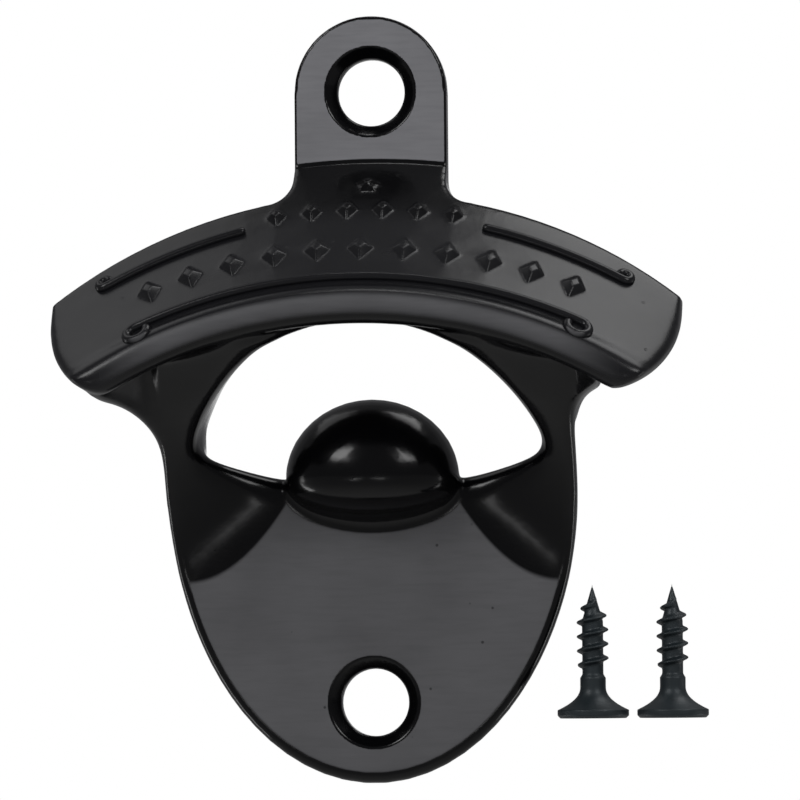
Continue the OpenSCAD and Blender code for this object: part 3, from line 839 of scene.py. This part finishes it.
class OPENER_OT_star(Operator):
    """Set a small raised star under the hanging tab"""

    bl_idname = "opener.star"
    bl_label = "Star"

    turn = 0.0
    reach = 68.8
    points = 5
    inner_share = 0.45
    edge_round = 0.1 * MM

    def execute(self, context):
        settings = context.scene.opener_ornament
        bpy.ops.object.select_all(action="DESELECT")
        bpy.ops.mesh.primitive_circle_add(
            vertices=2 * self.points, radius=settings.star, fill_type="NGON"
        )
        star = bpy.context.active_object
        star.name = "star"
        only_select(star)
        bpy.ops.object.mode_set(mode="EDIT")
        bpy.ops.mesh.select_mode(type="VERT")
        bpy.ops.mesh.select_all(action="DESELECT")
        bpy.ops.object.mode_set(mode="OBJECT")
        # Every second corner comes in.
        for vertex in star.data.vertices:
            vertex.select = vertex.index % 2 == 1
        bpy.ops.object.mode_set(mode="EDIT")
        bpy.ops.transform.resize(value=(self.inner_share, self.inner_share, 1.0))
        bpy.ops.mesh.select_all(action="SELECT")
        rise = settings.relief + RELIEF_SINK
        bpy.ops.mesh.extrude_region_move(TRANSFORM_OT_translate={"value": (0.0, 0.0, rise)})
        bpy.ops.transform.resize(value=(TOP_SHARE, TOP_SHARE, 1.0))
        bpy.ops.mesh.select_all(action="SELECT")
        bpy.ops.mesh.normals_make_consistent(inside=False)
        bpy.ops.transform.translate(value=(0.0, 0.0, -RELIEF_SINK))
        bpy.ops.object.mode_set(mode="OBJECT")
        settle(star, hood_matrix(self.turn, self.reach * MM))
        apply_modifier(star, "Soften", "BEVEL", width=self.edge_round, segments=2)
        only_select(star)
        bpy.ops.object.shade_smooth_by_angle(angle=SHARP_ANGLE)
        finish_piece(star, "opener", bpy.data.materials["gloss_black_stove_paint"])
        return {"FINISHED"}


class OPENER_OT_screws(Operator):
    """Make the two phosphated fixing screws"""

    bl_idname = "opener.screws"
    bl_label = "Fixing screws"

    def execute(self, context):
        settings = context.scene.opener_screws
        coating = phosphated_steel(settings)
        for side in ("left", "right"):
            node = "fixing_screw_" + side
            name = "screw_" + side
            screw = softened_copy(node, name, settings.skin, settings.softening)
            finish_piece(screw, name, coating)
            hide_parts(node)
        return {"FINISHED"}


class OPENER_PT_panel(Panel):
    """Lists the opener's settings and its build steps"""

    bl_idname = "OPENER_PT_panel"
    bl_label = "Wall Bottle Opener"
    bl_space_type = "VIEW_3D"
    bl_region_type = "UI"
    bl_category = "Opener"

    def draw(self, context):
        layout = self.layout
        for group, settings in GROUPS.items():
            box = layout.box()
            for name in settings.__annotations__:
                box.prop(getattr(context.scene, group), name)
        for step in STEPS:
            layout.operator(step.bl_idname)


GROUPS = {
    "opener_stage": StageSettings,
    "opener_casting": CastingSettings,
    "opener_ornament": OrnamentSettings,
    "opener_screws": ScrewSettings,
}
STEPS = (
    OPENER_OT_stage,
    OPENER_OT_casting,
    OPENER_OT_scrolls,
    OPENER_OT_lozenges,
    OPENER_OT_star,
    OPENER_OT_screws,
)
CLASSES = (*GROUPS.values(), *STEPS, OPENER_PT_panel)


def register():
    """Register the classes and hang the settings on the scene."""
    for cls in CLASSES:
        bpy.utils.register_class(cls)
    for group, settings in GROUPS.items():
        setattr(bpy.types.Scene, group, PointerProperty(type=settings))


def unregister():
    """Take everything away again."""
    for group in GROUPS:
        delattr(bpy.types.Scene, group)
    for cls in reversed(CLASSES):
        bpy.utils.unregister_class(cls)


def main():
    register()
    bpy.ops.opener.stage()
    bpy.ops.opener.casting()
    bpy.ops.opener.scrolls()
    bpy.ops.opener.lozenges()
    bpy.ops.opener.star()
    bpy.ops.opener.screws()


if __name__ == "__main__":
    main()
